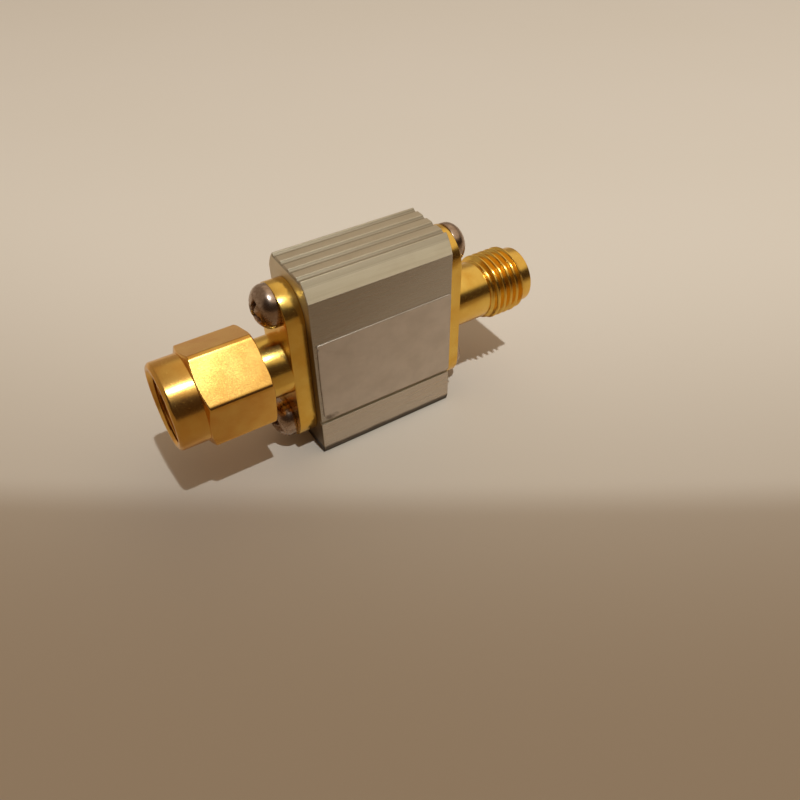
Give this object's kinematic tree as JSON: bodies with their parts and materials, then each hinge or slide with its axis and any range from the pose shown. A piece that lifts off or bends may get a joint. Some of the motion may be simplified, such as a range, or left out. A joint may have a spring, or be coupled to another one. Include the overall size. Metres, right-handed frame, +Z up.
{
  "type": "rf bandpass filter",
  "caption": "Small inline coaxial bandpass filter: a slim ribbed aluminium block with a screw-on plug at one end and a threaded jack at the other.",
  "frame": {"origin": "middle of the housing's narrow bottom face, on which the filter stands", "axes": "+X along the coaxial line from the plug to the jack, -Y out of the label face, +Z up"},
  "size_m": [0.0362, 0.0086, 0.0181],
  "materials": {
    "satin_aluminium": "satin, drawn along its length",
    "label_sheet": "matt metallised film",
    "board_laminate": "satin",
    "bare_copper": "satin",
    "chip_ceramic": "matt",
    "coil_ceramic": "matt",
    "capacitor_ceramic": "matt",
    "solder_metal": "bright",
    "gold_plating": "bright gold plating over turned brass",
    "ptfe_white": "waxy white",
    "pin_gold": "bright gold plating",
    "nut_gold": "bright gold plating over turned brass",
    "spring_bronze": "satin",
    "gasket_rubber": "matt silicone rubber",
    "screw_steel": "dark bright steel"
  },
  "bodies": {
    "filter_body": {"housing": "satin_aluminium", "front_label": "label_sheet", "circuit_board": "board_laminate", "signal_copper": "bare_copper", "ground_copper": "bare_copper", "filter_chip": "chip_ceramic", "input_inductor": "coil_ceramic", "output_inductor": "coil_ceramic", "input_capacitor": "capacitor_ceramic", "output_capacitor": "capacitor_ceramic", "input_solder": "solder_metal", "output_solder": "solder_metal", "plug_body": "gold_plating", "plug_dielectric": "ptfe_white", "plug_pin": "pin_gold", "retaining_ring": "spring_bronze", "plug_gasket": "gasket_rubber", "jack_body": "gold_plating", "jack_dielectric": "ptfe_white", "jack_contact": "pin_gold", "flange_screws": "screw_steel"},
    "swivel_nut": {"coupling_nut": "nut_gold"}
  },
  "joints": [
    {"name": "nut_spin", "type": "hinge", "parent": "filter_body", "child": "swivel_nut", "pos_m": [-0.01537, 0, 0.00907], "axis": [-1, 0, 0], "continuous": true}
  ]
}
